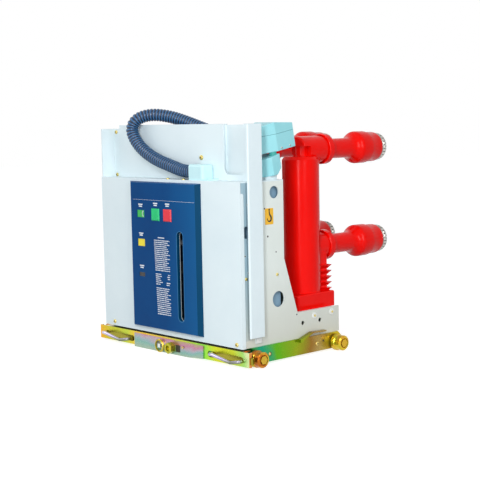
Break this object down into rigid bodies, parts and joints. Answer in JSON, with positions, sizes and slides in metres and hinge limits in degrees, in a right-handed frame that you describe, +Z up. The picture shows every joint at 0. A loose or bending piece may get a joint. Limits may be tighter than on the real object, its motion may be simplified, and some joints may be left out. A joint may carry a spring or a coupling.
{
  "type": "withdrawable vacuum circuit breaker",
  "caption": "Medium-voltage vacuum circuit breaker on a wheeled racking truck, with a front operating panel, embedded resin poles and tulip contact arms.",
  "frame": {"origin": "on the floor under the wheels, in the middle of the plan without the conduit", "axes": "+X to the right seen from the front cover, +Y from the front cover to the contact arms, +Z up"},
  "size_m": [0.6816, 0.6744, 0.6854],
  "materials": {
    "housing_paint": "satin powder coat",
    "panel_blue": "satin moulding",
    "epoxy_red": "high gloss cast resin",
    "zinc_yellow": "iridescent yellow zinc plating",
    "contact_silver": "silver plated copper",
    "conduit_navy": "corrugated conduit",
    "plug_cyan": "moulded plastic",
    "button_green": "moulded plastic",
    "button_red": "moulded plastic",
    "flag_green": "printed flag",
    "dark_plastic": "moulded plastic",
    "bright_steel": "ground steel"
  },
  "bodies": {
    "breaker": {"base_plate": "housing_paint", "conduit": "conduit_navy", "conduit_elbow": "plug_cyan", "control_panel": "panel_blue", "front_cover": "housing_paint", "indicator_flags": "flag_green", "left_post": "housing_paint", "lever_bracket": "zinc_yellow", "lower_arm_left": "epoxy_red", "lower_arm_middle": "epoxy_red", "lower_arm_right": "epoxy_red", "lower_contacts": "contact_silver", "operation_counter": "dark_plastic", "plug_block": "plug_cyan", "plug_hood": "plug_cyan", "plug_pocket": "housing_paint", "pole_left": "epoxy_red", "pole_middle": "epoxy_red", "pole_right": "epoxy_red", "rail_left": "zinc_yellow", "rail_right": "zinc_yellow", "rear_wall": "housing_paint", "right_post": "housing_paint", "side_plate_left": "housing_paint", "side_plate_right": "housing_paint", "tall_plate": "housing_paint", "top_plate": "housing_paint", "truck_floor": "zinc_yellow", "upper_arm_left": "epoxy_red", "upper_arm_middle": "epoxy_red", "upper_arm_right": "epoxy_red", "upper_contacts": "contact_silver"},
    "racking_beam": {"front_beam": "zinc_yellow", "centre_plate": "zinc_yellow", "racking_screw": "bright_steel", "hex_boss": "zinc_yellow"},
    "handle_left": {"handle_left": "zinc_yellow"},
    "handle_right": {"handle_right": "zinc_yellow"},
    "wheel_front_left": {"wheel_front_left": "zinc_yellow"},
    "wheel_front_right": {"wheel_front_right": "zinc_yellow"},
    "wheel_rear_left": {"wheel_rear_left": "zinc_yellow"},
    "wheel_rear_right": {"wheel_rear_right": "zinc_yellow"},
    "close_button": {"close_button": "button_green"},
    "open_button": {"open_button": "button_red"},
    "charging_lever": {"charging_lever": "dark_plastic"}
  },
  "joints": [
    {"name": "racking_travel", "type": "slide", "parent": "breaker", "child": "racking_beam", "axis": [0, -1, 0], "range_m": [0, 0.2]},
    {"name": "handle_left_slide", "type": "slide", "parent": "racking_beam", "child": "handle_left", "axis": [1, 0, 0], "range_m": [0, 0.014], "stiffness_N_per_m": 400, "springref_m": -0.01},
    {"name": "handle_right_slide", "type": "slide", "parent": "racking_beam", "child": "handle_right", "axis": [-1, 0, 0], "range_m": [0, 0.014], "stiffness_N_per_m": 400, "springref_m": -0.01},
    {"name": "wheel_front_left_turn", "type": "hinge", "parent": "breaker", "child": "wheel_front_left", "pos_m": [-0.3233, -0.27075, 0.023], "axis": [1, 0, 0], "continuous": true},
    {"name": "wheel_front_right_turn", "type": "hinge", "parent": "breaker", "child": "wheel_front_right", "pos_m": [0.3233, -0.27075, 0.023], "axis": [1, 0, 0], "continuous": true},
    {"name": "wheel_rear_left_turn", "type": "hinge", "parent": "breaker", "child": "wheel_rear_left", "pos_m": [-0.3233, 0.04025, 0.023], "axis": [1, 0, 0], "continuous": true},
    {"name": "wheel_rear_right_turn", "type": "hinge", "parent": "breaker", "child": "wheel_rear_right", "pos_m": [0.3233, 0.04025, 0.023], "axis": [1, 0, 0], "continuous": true},
    {"name": "close_button_push", "type": "slide", "parent": "breaker", "child": "close_button", "axis": [0, 1, 0], "range_m": [0, 0.004], "stiffness_N_per_m": 600, "springref_m": -0.004},
    {"name": "open_button_push", "type": "slide", "parent": "breaker", "child": "open_button", "axis": [0, 1, 0], "range_m": [0, 0.004], "stiffness_N_per_m": 600, "springref_m": -0.004},
    {"name": "charging_lever_swing", "type": "hinge", "parent": "breaker", "child": "charging_lever", "pos_m": [0.0655, -0.22475, 0.246], "axis": [1, 0, 0], "range_deg": [0, 84], "stiffness_Nm_per_rad": 0.8, "springref_deg": -28.65}
  ]
}
